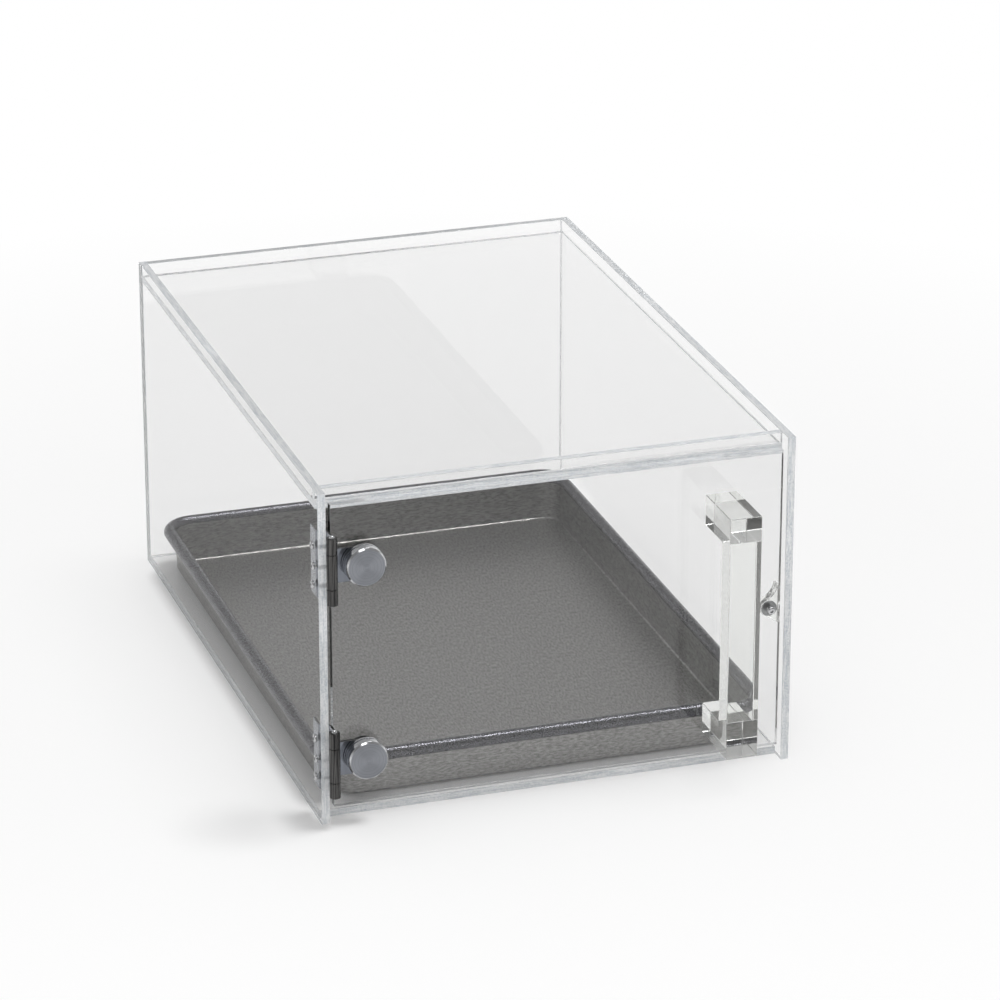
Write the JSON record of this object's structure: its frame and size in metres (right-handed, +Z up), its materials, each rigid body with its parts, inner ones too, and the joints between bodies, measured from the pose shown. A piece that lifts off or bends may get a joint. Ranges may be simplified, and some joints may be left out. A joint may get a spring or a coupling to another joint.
{
  "type": "countertop bread display bin",
  "caption": "Clear acrylic countertop display bin for sliced bread, with a side-hinged front door, pull handle, magnetic catch and lift-out steel tray.",
  "frame": {"origin": "centre of the underside of the case, halfway between the side panels and halfway along them", "axes": "+Z up, -Y out of the front through the door, +X to the right seen from the front"},
  "size_m": [0.268, 0.4155, 0.1905],
  "materials": {
    "case_acrylic": "clear acrylic sheet, polished faces and machined edges",
    "door_acrylic": "clear acrylic, polished",
    "hinge_steel": "dark satin stainless steel",
    "spun_steel": "stainless steel with a spun face and a bright chamfer",
    "screw_steel": "bright machined stainless steel",
    "magnet_nickel": "dull nickel plate",
    "black_rubber": "matt black rubber",
    "tray_steel": "satin stainless steel, brushed along the walls"
  },
  "bodies": {
    "case": {"left_side_panel": "case_acrylic", "right_side_panel": "case_acrylic", "back_panel": "case_acrylic", "top_panel": "case_acrylic", "top_front_rim": "case_acrylic", "bottom_panel": "case_acrylic", "door_stop": "case_acrylic", "catch_magnet": "magnet_nickel", "upper_case_leaf": "hinge_steel", "lower_case_leaf": "hinge_steel", "upper_hinge_pin": "screw_steel", "lower_hinge_pin": "screw_steel", "hinge_leaf_screws": "screw_steel"},
    "door": {"door_panel": "door_acrylic", "door_handle": "door_acrylic", "upper_door_leaf": "hinge_steel", "lower_door_leaf": "hinge_steel", "upper_leaf_gasket": "black_rubber", "lower_leaf_gasket": "black_rubber", "upper_cap_nut": "spun_steel", "lower_cap_nut": "spun_steel", "upper_clamp_screw": "screw_steel", "lower_clamp_screw": "screw_steel", "upper_back_washer": "black_rubber", "lower_back_washer": "black_rubber", "strike_screw": "screw_steel"},
    "tray": {"bread_tray": "tray_steel"}
  },
  "joints": [
    {"name": "door_hinge", "type": "hinge", "parent": "case", "child": "door", "pos_m": [-0.1272, -0.1955, 0], "axis": [0, 0, -1], "range_deg": [0, 180]},
    {"name": "tray_slide", "type": "slide", "parent": "case", "child": "tray", "axis": [0, 1, 0], "range_m": [-0.0032, 0.008]}
  ]
}
